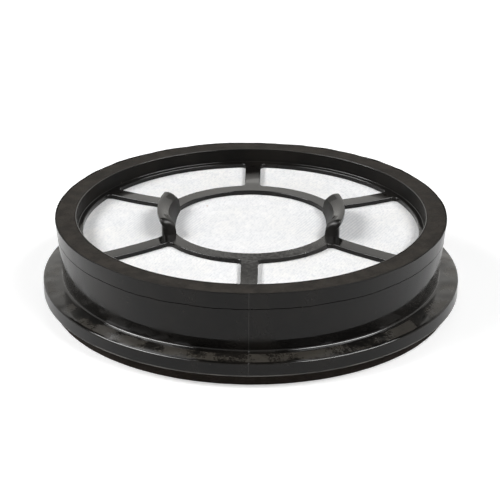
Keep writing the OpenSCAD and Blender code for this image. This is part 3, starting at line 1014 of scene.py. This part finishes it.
    def grid(self) -> bmesh.types.BMesh:
        """Builds the ring and spokes: cut across, thickened, rounded on top and crowned."""
        bm = self.grid_plan()
        first = self.ring_out_r + self.spoke_fillet + self.cuts_from[0]
        last = self.ledge_in_r - self.spoke_fillet - self.cuts_from[1]
        for i in range(self.spoke_cuts + 1):
            y = first + (last - first) * i / self.spoke_cuts
            cut_across(bm, (0, y * MM, 0), (0, 1, 0))
        bmesh.ops.spin(bm, geom=bm.verts[:] + bm.edges[:] + bm.faces[:], axis=(0, 0, 1),
                       cent=(0, 0, 0), dvec=(0, 0, 0), steps=self.spoke_n - 1,
                       angle=math.tau * (self.spoke_n - 1) / self.spoke_n, use_duplicate=True)
        bmesh.ops.remove_doubles(bm, verts=bm.verts, dist=NEAR * 20)
        pull_solid(bm, (0, 0, -self.grid_t * MM))
        face_outwards(bm)
        rims = [e for e in bm.edges if len(e.link_faces) == 2
                and all(abs(v.co.z) < NEAR for v in e.verts)
                and any(abs(f.normal.z) < 0.5 for f in e.link_faces)]
        round_edges(bm, rims, self.edge_round, 3)
        for vert in bm.verts:
            vert.co.z += (self.ledge_z + self.crown(math.hypot(vert.co.x, vert.co.y) / MM)) * MM
        return bm

    def ribs(self) -> bmesh.types.BMesh:
        """Builds the thin ribs that cross the channel between the two walls."""
        bm = bmesh.new()
        low, high = self.low_z + self.rib_set, self.channel_top_z + self.web_t / 2
        inner = self.skirt_out_r - self.skirt_t / 2
        for i in range(self.rib_n):
            made = bmesh.ops.create_cube(bm, size=1.0)["verts"]
            for vert in made:
                top = vert.co.z > 0
                z = high if top else low
                x = inner + (self.rib_top_in if top else 0.0)
                if vert.co.x > 0:
                    x = self.wall_r(z) - self.wall_t / 2
                vert.co = Vector((x, vert.co.y * self.rib_t, z)) * MM
            turn = Matrix.Rotation(math.tau * (i + 0.5) / self.rib_n, 3, "Z")
            bmesh.ops.rotate(bm, verts=made, cent=(0, 0, 0), matrix=turn)
        return bm

    def relief(self, side: int) -> bmesh.types.BMesh:
        """Builds the block that is cut from the ring behind a tab, between its two spokes.

        Args:
            side: 1 for the right tab and -1 for the left one.

        Returns:
            The closed block.
        """
        slope = math.tan(math.pi / self.spoke_n)
        near = self.tab.in_x(self) + self.tab.thick - self.seal_clear
        far = self.ring_out_r + self.relief_past
        half_spoke = self.spoke_w / 2 / math.cos(math.pi / self.spoke_n)
        outline = [(x, end * (slope * x - half_spoke))
                   for end, pair in ((-1, (near, far)), (1, (far, near))) for x in pair]
        low = self.ledge_low_z - self.relief_below
        bm = bmesh.new()
        bm.faces.new([bm.verts.new((side * x * MM, y * MM, low * MM)) for x, y in outline])
        pull_solid(bm, (0, 0, self.relief_h * MM))
        face_outwards(bm)
        return bm

    def dimples(self) -> bmesh.types.BMesh:
        """Builds the pegs that leave a shallow dimple at the outer end of each spoke."""
        bm = bmesh.new()
        r = self.ledge_in_r - self.spoke_w / 2
        middle = self.ledge_z + self.crown(r) - self.dimple_t + self.spoke_w / 2
        for i in range(self.spoke_n):
            turn = Matrix.Rotation(math.pi / 2 + math.tau * i / self.spoke_n, 4, "Z")
            place = turn @ Matrix.Translation(Vector((r, 0, middle)) * MM)
            bmesh.ops.create_cone(bm, cap_ends=True, segments=self.dimple_facets,
                                  radius1=self.dimple_d / 2 * MM, radius2=self.dimple_d / 2 * MM,
                                  depth=self.spoke_w * MM, matrix=place)
        face_outwards(bm)
        return bm

    def build(self) -> bpy.types.Object:
        """Joins the shell, ribs, grid and tabs into one moulding and dresses it."""
        body = make_object("frame_moulding", self.shell())
        steps = [("UNION", self.grid()), ("UNION", self.ribs()), ("DIFFERENCE", self.dimples()),
                 ("DIFFERENCE", self.relief(1)), ("DIFFERENCE", self.relief(-1)),
                 ("UNION", self.tab.blade(self, 1)), ("UNION", self.tab.blade(self, -1))]
        tools = []
        for number, (operation, bm) in enumerate(steps):
            tool = make_object(f"frame_step_{number}", bm)
            join = body.modifiers.new(tool.name, "BOOLEAN")
            join.operation, join.solver, join.object = operation, "MANIFOLD", tool
            tools.append(tool)
        bake_modifiers(body)
        for tool in tools:
            bpy.data.objects.remove(tool)
        shade_smooth(body.data)
        weigh_normals(body)
        # The flange's lower edge gets a painted sheen line, partly wear, at this height.
        glossy = PlasticFinish(edge_line_z=(self.low_z + self.edge_line_rise) * MM)
        matt = PlasticFinish(name="Matt moulding", roughness=(0.45, 0.55), ior=1.20,
                             face_tint=0.6)
        satin = PlasticFinish(name="Satin moulding", roughness=(0.38, 0.46), ior=1.30,
                              face_tint=0.8)
        dress(body, glossy, Slot.FRAME, "frame")
        for finish in (matt, satin):
            body.data.materials.append(finish.make())
        for face in body.data.polygons:
            face.material_index = self.texture_of(face.center / MM, face.normal)
        return body

    def texture_of(self, middle: Vector, normal: Vector) -> int:
        """Tells which of the frame's three materials a face has.

        Args:
            middle: The middle of the face, in millimetres.
            normal: The way it faces.

        Returns:
            MATT on the rim's outer lip and the recess wall, SATIN on the tabs' inner faces
            and ends, else PLAIN.
        """
        r = math.hypot(middle.x, middle.y)
        inward = -(middle.x * normal.x + middle.y * normal.y) / max(r, 1e-6)
        if r > self.ring_out_r:
            wall = (self.ledge_out_r - 0.2 < r < self.recess_r + 0.2 and inward > 0.8
                    and middle.z > self.ledge_z)
            lip = r > self.band_out_r - 0.1 and middle.z > self.body_h - self.lip_w
            return self.MATT if wall or lip else self.PLAIN
        if middle.z < self.ring_z:
            return self.PLAIN
        if abs(middle.x) > self.tab.in_x(self) - 0.5 and inward > self.satin_inward:
            return self.SATIN
        from_end = self.tab.length / 2 - abs(middle.y)
        end = from_end < self.tab.end_round and abs(normal.y) > 0.25
        crease_end = from_end < 2 * self.tab.end_round and inward > 0.35
        return self.SATIN if end or crease_end else self.PLAIN


@dataclass
class RimBand:
    """The soft band in the seat on the rim."""

    width: float = 6.6
    edge: float = 0.25

    def build(self) -> bpy.types.Object:
        """Turns the band and dresses it."""
        box = NodeBox.of("rim_band")
        inner = box.radius - self.width
        ring = [Corner(inner, box.low), Corner(box.radius, box.low),
                Corner(box.radius, box.high, self.edge, 3), Corner(inner, box.high, self.edge, 3)]
        band = weigh_normals(make_object("rim_band_soft", Lathe(ring).turn()))
        return dress(band, RubberFinish(), Slot.BAND, "rim_band")


@dataclass
class Gasket:
    """The foam ring under the flange that the filter rests on."""

    width: float = 4.8
    edge: float = 0.6
    fray: float = 0.09
    fray_scales: tuple[float, float] = (260.0, 700.0)

    def build(self) -> bpy.types.Object:
        """Turns the gasket, roughens it slightly and dresses it."""
        box = NodeBox.of("gasket")
        inner = box.radius - self.width
        ring = [Corner(inner, box.low, self.edge, 4), Corner(box.radius, box.low, self.edge, 4),
                Corner(box.radius, box.high), Corner(inner, box.high)]
        bm = Lathe(ring).turn()
        broad, fine = self.fray_scales
        for vert in bm.verts:
            rough = noise.noise(vert.co * broad) + 0.6 * noise.noise(vert.co * fine)
            vert.co.x *= 1 + self.fray * rough / box.radius
            vert.co.y *= 1 + self.fray * rough / box.radius
        finish = RubberFinish(name="Foam gasket", colour=(0.020, 0.016, 0.013),
                              wear_and_sheen_colour=(0.034, 0.028, 0.024), roughness=(0.7, 0.9),
                              scale=1300.0, depth=0.0002)
        foam = weigh_normals(make_object("gasket_foam_ring", bm))
        return dress(foam, finish, Slot.GASKET, "gasket")


@dataclass
class Fleece:
    """The white fleece under the grid, crowned with it."""

    swell: float = 0.06
    swell_scale: float = 120.0
    rings: int = 60
    steps: int = 200

    def build(self, moulding: Moulding) -> bpy.types.Object:
        """Turns the crowned mat, lets it swell softly and dresses it.

        Args:
            moulding: The frame that the mat lies under.

        Returns:
            The mat.
        """
        box = NodeBox.of("fleece")
        edge_z = box.high - moulding.grid_crown
        radii = [box.radius * i / self.rings for i in range(self.rings, 0, -1)]
        bm = bmesh.new()
        top = [bm.verts.new((r * MM, 0, (edge_z + moulding.crown(r)) * MM)) for r in radii]
        top.append(bm.verts.new((0, 0, box.high * MM)))
        low = [bm.verts.new((0, 0, box.low * MM)), bm.verts.new((box.radius * MM, 0, box.low * MM))]
        line = [low[0], low[1], *top]
        edges = [bm.edges.new(pair) for pair in zip(line, line[1:])]
        bmesh.ops.spin(bm, geom=line + edges, axis=(0, 0, 1), cent=(0, 0, 0), dvec=(0, 0, 0),
                       angle=math.tau, steps=self.steps, use_merge=True)
        bmesh.ops.remove_doubles(bm, verts=bm.verts, dist=NEAR)
        face_outwards(bm)
        for vert in bm.verts:
            if vert.co.z / MM > edge_z - 0.01:
                wave = noise.noise(vert.co * self.swell_scale)
                vert.co.z -= self.swell * MM * (0.5 + 0.5 * wave)
        mat = make_object("fleece_mat", bm)
        dress(mat, FleeceFinish(), Slot.FLEECE, "fleece")
        return mat


@dataclass
class PleatPack:
    """The folded paper: rounded folds that waver a little, cut round."""

    pitch: float = 4.2
    paper_t: float = 0.6
    fold_flat: float = 0.9
    fold_round: float = 0.45
    waver: float = 0.25
    waver_scales: tuple[float, float, float] = (90.0, 55.0, 30.0)
    stations: int = 30
    facets: int = 240
    sharp_deg: float = 40.0

    def outline(self, radius: float, height: float) -> list[tuple[float, float]]:
        """Returns the strip's section across the folds: x and the height above the lowest fold."""
        half_pitch = self.pitch / 2
        folds = 2 * math.ceil(2 * radius / self.pitch) + 2
        slant = math.atan2(height - self.paper_t, half_pitch - self.fold_flat)
        mitre = self.paper_t / 2 * math.tan(slant / 2)
        wide, narrow = self.fold_flat / 2 + mitre, self.fold_flat / 2 - mitre
        upper: list[tuple[float, float]] = []
        lower: list[tuple[float, float]] = []
        for i in range(folds + 1):
            high = i % 2 == 0
            x = (i - folds / 2) * half_pitch
            outer, inner = (wide, narrow) if high else (narrow, wide)
            top, bottom = (height, height - self.paper_t) if high else (self.paper_t, 0.0)
            upper += [(x + side * outer, top) for side in (-1, 1)]
            lower += [(x + side * inner, bottom) for side in (-1, 1)]
        return upper + lower[::-1]

    def build(self) -> bpy.types.Object:
        """Extrudes the strip, rounds its folds, lets it waver, cuts it round and dresses it."""
        box = NodeBox.of("pleat_pack")
        reach = box.radius + self.pitch
        bm = bmesh.new()
        bm.faces.new([bm.verts.new((x * MM, -reach * MM, (box.low + z) * MM))
                      for x, z in self.outline(box.radius, box.high - box.low)])
        pull_solid(bm, (0, 2 * reach * MM, 0))
        face_outwards(bm)
        levels = (box.low * MM, box.high * MM)
        folds = [e for e in bm.edges if abs(e.verts[0].co.y - e.verts[1].co.y) > reach * MM
                 and min(abs(e.verts[0].co.z - level) for level in levels) < NEAR * 10]
        round_edges(bm, folds, self.fold_round, 4)
        for i in range(1, self.stations):
            cut_across(bm, (0, reach * (2 * i / self.stations - 1) * MM, 0), (0, 1, 0))
        for vert in bm.verts:
            place = Vector([c * scale for c, scale in zip(vert.co, self.waver_scales)])
            vert.co.x += self.waver * MM * noise.noise(place)
        pack = make_object("pleated_paper", bm)
        cutter = bmesh.new()
        bmesh.ops.create_cone(cutter, cap_ends=True, segments=self.facets,
                              radius1=box.radius * MM, radius2=box.radius * MM,
                              depth=2 * (box.high - box.low) * MM,
                              matrix=Matrix.Translation((0, 0, (box.low + box.high) / 2 * MM)))
        tool = make_object("pleat_cutter", cutter)
        cut = pack.modifiers.new("cut_round", "BOOLEAN")
        cut.operation, cut.solver, cut.object = "INTERSECT", "MANIFOLD", tool
        bake_modifiers(pack)
        bpy.data.objects.remove(tool)
        shade_smooth(pack.data, self.sharp_deg)
        return dress(pack, PaperFinish(), Slot.PAPER, "pleat_pack")


@dataclass
class Potting:
    """The poured ring that seals the pack's edge, with an uneven skin."""

    width: float = 2.0
    edge: float = 0.6
    slump: float = 0.45
    slump_scale: float = 150.0

    def build(self) -> bpy.types.Object:
        """Turns the ring, lets its skin slump and dresses it."""
        box = NodeBox.of("potting")
        inner = box.radius - self.width
        ring = [Corner(inner, box.low, self.edge, 4), Corner(box.radius, box.low),
                Corner(box.radius, box.high), Corner(inner, box.high, self.edge, 4)]
        bm = Lathe(ring).turn()
        middle = (box.low + box.high) / 2 * MM
        for vert in bm.verts:
            side = 1.0 if vert.co.z > middle else -1.0
            swell = noise.noise(Vector((vert.co.x, vert.co.y, 0.02 * side)) * self.slump_scale)
            vert.co.z -= side * self.slump * MM * (0.5 + 0.5 * swell)
        finish = PaperFinish(name="Potting resin", colour=(0.62, 0.58, 0.46),
                             shade=(0.52, 0.47, 0.36), roughness=(0.30, 0.45), scale=400.0,
                             depth=0.00008)
        resin = weigh_normals(make_object("potting_ring", bm))
        return dress(resin, finish, Slot.POTTING, "potting")


@dataclass
class GlueBeads:
    """Beads of glue across the lower folds, fuller where they sit on one."""

    diameter: float = 1.4
    spacing: float = 30.0
    count: int = 3
    fold_pitch: float = 4.2
    neck: float = 0.28
    lump: float = 0.12
    lump_scale: float = 0.35
    steps_per_fold: int = 6
    facets: int = 16
    end_round: float = 0.6
    sharp_deg: float = 60.0

    def build(self) -> bpy.types.Object:
        """Draws the beads, necks them between the folds and dresses them."""
        box, pack = NodeBox.of("spacer_beads"), NodeBox.of("pleat_pack")
        radius = self.diameter / 2
        middle_z = box.low + radius
        bm = bmesh.new()
        for i in range(self.count):
            y = (i - (self.count - 1) / 2) * self.spacing
            half = math.sqrt((pack.radius - self.diameter) ** 2 - y * y)
            place = Matrix.Translation(Vector((0, y, middle_z)) * MM)
            bmesh.ops.create_cone(bm, cap_ends=True, segments=self.facets, radius1=radius * MM,
                                  radius2=radius * MM, depth=2 * half * MM,
                                  matrix=place @ Matrix.Rotation(math.pi / 2, 4, "Y"))
        rims = [e for e in bm.edges if any(len(f.verts) > 4 for f in e.link_faces)]
        round_edges(bm, rims, radius * self.end_round, 4)
        step = self.fold_pitch / self.steps_per_fold
        for i in range(-int(pack.radius / step), int(pack.radius / step) + 1):
            cut_across(bm, (i * step * MM, 0, 0), (1, 0, 0))
        top = (middle_z + radius) * MM
        for vert in bm.verts:
            x = vert.co.x / MM
            axis_y = round(vert.co.y / MM / self.spacing) * self.spacing * MM
            lump = noise.noise(Vector((x * self.lump_scale, axis_y * 900.0, 0.0)))
            between = 0.5 + 0.5 * math.cos(math.tau * x / self.fold_pitch)
            slim = 1 - self.neck * between - self.lump * (0.5 + 0.5 * lump)
            vert.co.y = axis_y + (vert.co.y - axis_y) * slim
            vert.co.z = top - (top - vert.co.z) * slim
        face_outwards(bm)
        finish = PaperFinish(name="Bead glue", colour=(0.70, 0.67, 0.56), shade=(0.60, 0.56, 0.44),
                             roughness=(0.22, 0.35), scale=500.0, depth=0.00006)
        beads = make_object("glue_beads", bm, self.sharp_deg)
        return dress(beads, finish, Slot.BEAD, "spacer_beads")


@dataclass(frozen=True)
class Softbox:
    """One soft lamp: the way it lies from the filter, its long and short side, and its power."""

    name: str
    toward: tuple[float, float, float]
    size: tuple[float, float]
    power: float
    gleam: bool = False
    distance: float = 1.25

    def hang(self) -> None:
        """Hangs the lamp with its long side level. A gleam shows in reflections only."""
        data = bpy.data.lights.new(self.name, "AREA")
        data.shape, data.size, data.size_y, data.energy = "RECTANGLE", *self.size, self.power
        lamp = bpy.data.objects.new(self.name, data)
        toward = Vector(self.toward).normalized()
        lamp.location = toward * self.distance
        lamp.rotation_euler = (-toward).to_track_quat("-Z", "Y").to_euler()
        lamp.visible_diffuse = not self.gleam
        bpy.context.scene.collection.objects.link(lamp)


@dataclass
class Studio:
    """Pale floor, soft lamps and a white surround."""

    floor_size: float = 6.0
    floor_colour: Rgb = (0.80, 0.80, 0.80)
    floor_lift: float = 0.45
    floor_far_lift: float = 0.95
    floor_near: float = 0.35
    floor_far: float = 1.2
    floor_gloss_lift: float = 0.20
    world_level: float = 0.12
    glossy_level: float = 1.05
    glossy_colour: Rgb = (1.0, 0.985, 0.945)
    flag_size: float = 5.0
    flag_height: float = 2.0
    flag_level: float = 0.03
    lamps: tuple[Softbox, ...] = (
        Softbox("lamp_left", (-0.70, -0.15, 0.66), (0.84, 0.40), 11.3),
        Softbox("lamp_right", (0.55, -0.28, 0.76), (0.84, 0.40), 10.3),
        Softbox("gleam_left", (-0.68, -0.21, 0.71), (1.10, 0.40), 38.0, gleam=True),
        Softbox("gleam_right", (0.61, -0.28, 0.74), (1.10, 0.40), 38.0, gleam=True),
    )

    def build(self) -> None:
        """Makes the world, the floor and the lamps."""
        self._world()
        self._floor()
        self._flag()
        for lamp in self.lamps:
            lamp.hang()
        bpy.context.scene.view_settings.view_transform = "Standard"

    def _world(self) -> None:
        """White for the camera and reflections, softer for the light on the object."""
        world = bpy.data.worlds.new("Studio world")
        world.use_nodes = True
        world.node_tree.nodes.clear()
        g = Graph(world.node_tree)
        path = g.add("ShaderNodeLightPath")
        seen = g.math("MAXIMUM", path.outputs["Is Glossy Ray"], path.outputs["Is Transmission Ray"])
        level = g.add("ShaderNodeMix", {0: seen, 2: self.world_level, 3: self.glossy_level},
                      data_type="FLOAT")
        level = g.add("ShaderNodeMix",
                      {0: path.outputs["Is Camera Ray"], 2: level.outputs[0], 3: 1.0},
                      data_type="FLOAT")
        colour = g.mix(seen, rgba((1.0, 1.0, 1.0)), rgba(self.glossy_colour))
        sky = g.add("ShaderNodeBackground", {"Color": colour, "Strength": level.outputs[0]})
        g.add("ShaderNodeOutputWorld", {"Surface": sky.outputs[0]})
        bpy.context.scene.world = world

    def _floor(self) -> None:
        """A pale plane that keeps the object's shadow and fades to white."""
        bm = bmesh.new()
        bmesh.ops.create_grid(bm, x_segments=1, y_segments=1, size=self.floor_size / 2)
        floor = make_object("studio_floor", bm)
        material = bpy.data.materials.new("Studio floor")
        material.use_nodes = True
        material.node_tree.nodes.clear()
        g = Graph(material.node_tree)
        path = g.add("ShaderNodeLightPath")
        seen = g.math("MAXIMUM", path.outputs["Is Camera Ray"], path.outputs["Is Transmission Ray"])
        coords = g.add("ShaderNodeTexCoord").outputs["Object"]
        lifted = g.span(g.length(coords), self.floor_near, self.floor_far, self.floor_lift,
                        self.floor_far_lift)
        gloss = g.math("MULTIPLY", path.outputs["Is Glossy Ray"], self.floor_gloss_lift)
        level = g.math("ADD", g.math("MULTIPLY", seen, lifted), gloss)
        diffuse = g.add("ShaderNodeBsdfDiffuse", {"Color": rgba(self.floor_colour)})
        lift = g.add("ShaderNodeEmission", {"Strength": level})
        both = g.add("ShaderNodeAddShader", {0: diffuse.outputs[0], 1: lift.outputs[0]})
        g.add("ShaderNodeOutputMaterial", {"Surface": both.outputs[0]})
        floor.data.materials.append(material)

    def _flag(self) -> None:
        """A dark card overhead, seen in reflections only, that keeps rounded edges dark."""
        bm = bmesh.new()
        bmesh.ops.create_grid(bm, x_segments=1, y_segments=1, size=self.flag_size / 2)
        bmesh.ops.translate(bm, verts=bm.verts, vec=(0, 0, self.flag_height))
        flag = make_object("studio_flag", bm)
        material = bpy.data.materials.new("Studio flag")
        material.use_nodes = True
        material.node_tree.nodes.clear()
        g = Graph(material.node_tree)
        dark = g.add("ShaderNodeEmission", {"Strength": self.flag_level})
        g.add("ShaderNodeOutputMaterial", {"Surface": dark.outputs[0]})
        flag.data.materials.append(material)
        for ray in ("camera", "diffuse", "shadow", "transmission"):
            setattr(flag, f"visible_{ray}", False)


@dataclass(frozen=True)
class PhotoCamera:
    """Camera at the photograph's viewing angle."""

    distance: float = 650.0
    elevation: float = 22.56
    grid_turn: float = 0.75
    roll: float = 0.24
    yaw: float = 0.029
    pitch: float = -1.247
    focal_px: float = 1813.0
    frame_px: float = 500.0
    sensor: float = 36.0
    clip: tuple[float, float] = (0.05, 20.0)

    def build(self, rim_z: float) -> bpy.types.Object:
        """Places the camera.

        Args:
            rim_z: Height of the rim that the camera looks at, in millimetres.

        Returns:
            The camera.
        """
        rise = math.radians(self.elevation)
        away = Vector((0, -math.cos(rise), math.sin(rise)))
        forward = -away
        right = Vector((1, 0, 0))
        up = right.cross(forward)
        forward = Matrix.Rotation(math.radians(self.yaw), 3, up) @ forward
        right = Matrix.Rotation(math.radians(self.yaw), 3, up) @ right
        forward = Matrix.Rotation(math.radians(self.pitch), 3, right) @ forward
        up = right.cross(forward)
        turn = math.radians(self.roll)
        right, up = (right * math.cos(turn) + up * math.sin(turn),
                     up * math.cos(turn) - right * math.sin(turn))
        axes = Matrix((right, up, -forward)).transposed().to_4x4()
        place = away * self.distance * MM + Vector((0, 0, rim_z * MM))
        spin = Matrix.Rotation(math.radians(self.grid_turn), 4, "Z")
        data = bpy.data.cameras.new("photo_camera")
        data.sensor_width = self.sensor
        data.lens = self.focal_px / self.frame_px * self.sensor
        data.clip_start, data.clip_end = self.clip
        camera = bpy.data.objects.new("photo_camera", data)
        camera.matrix_world = spin @ Matrix.Translation(place) @ axes
        bpy.context.scene.collection.objects.link(camera)
        bpy.context.scene.camera = camera
        return camera


def corners(bounds: tuple[Vector, Vector]) -> list[list[float]]:
    """Writes a box as plain lists."""
    return [list(bounds[0]), list(bounds[1])]


def main() -> None:
    """Builds every piece of the filter, the studio and the camera."""
    logging.basicConfig(level=logging.INFO, format="%(name)s: %(message)s")
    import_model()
    moulding = Moulding()
    PhotoCamera().build(moulding.body_h)
    Studio().build()
    moulding.build()
    RimBand().build()
    Gasket().build()
    Fleece().build(moulding)
    PleatPack().build()
    Potting().build()
    GlueBeads().build()


if __name__ == "__main__":
    main()
